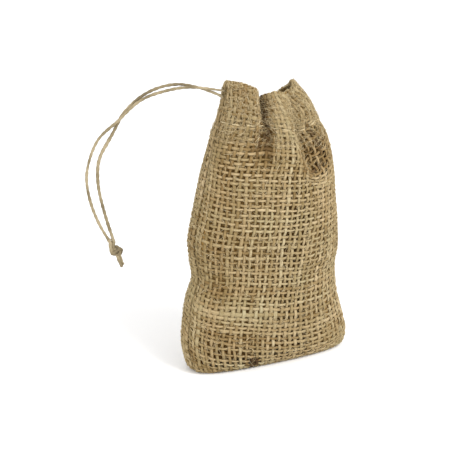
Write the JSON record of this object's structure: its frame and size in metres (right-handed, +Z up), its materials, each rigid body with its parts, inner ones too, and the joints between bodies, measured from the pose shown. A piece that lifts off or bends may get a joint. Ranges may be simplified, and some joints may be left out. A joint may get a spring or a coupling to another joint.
{
  "type": "burlap drawstring sack",
  "caption": "Small plain-woven jute drawstring sack, filled out and standing, with a gathered open mouth and a knotted twine drawstring at its left side.",
  "frame": {"origin": "on the surface that the sack stands on, at the middle of its flat underside", "axes": "+Z up through the mouth, -Y the front face, -X the side where the drawstring comes out"},
  "size_m": [0.1053, 0.0418, 0.1221],
  "materials": {
    "jute_cloth": "coarse open plain weave, natural undyed jute, matte",
    "jute_twine": "two-ply twisted natural jute twine, matte"
  },
  "bodies": {
    "root": {"sack": "jute_cloth", "drawstring_upper": "jute_twine", "drawstring_lower": "jute_twine", "drawstring_knot": "jute_twine"}
  },
  "joints": []
}
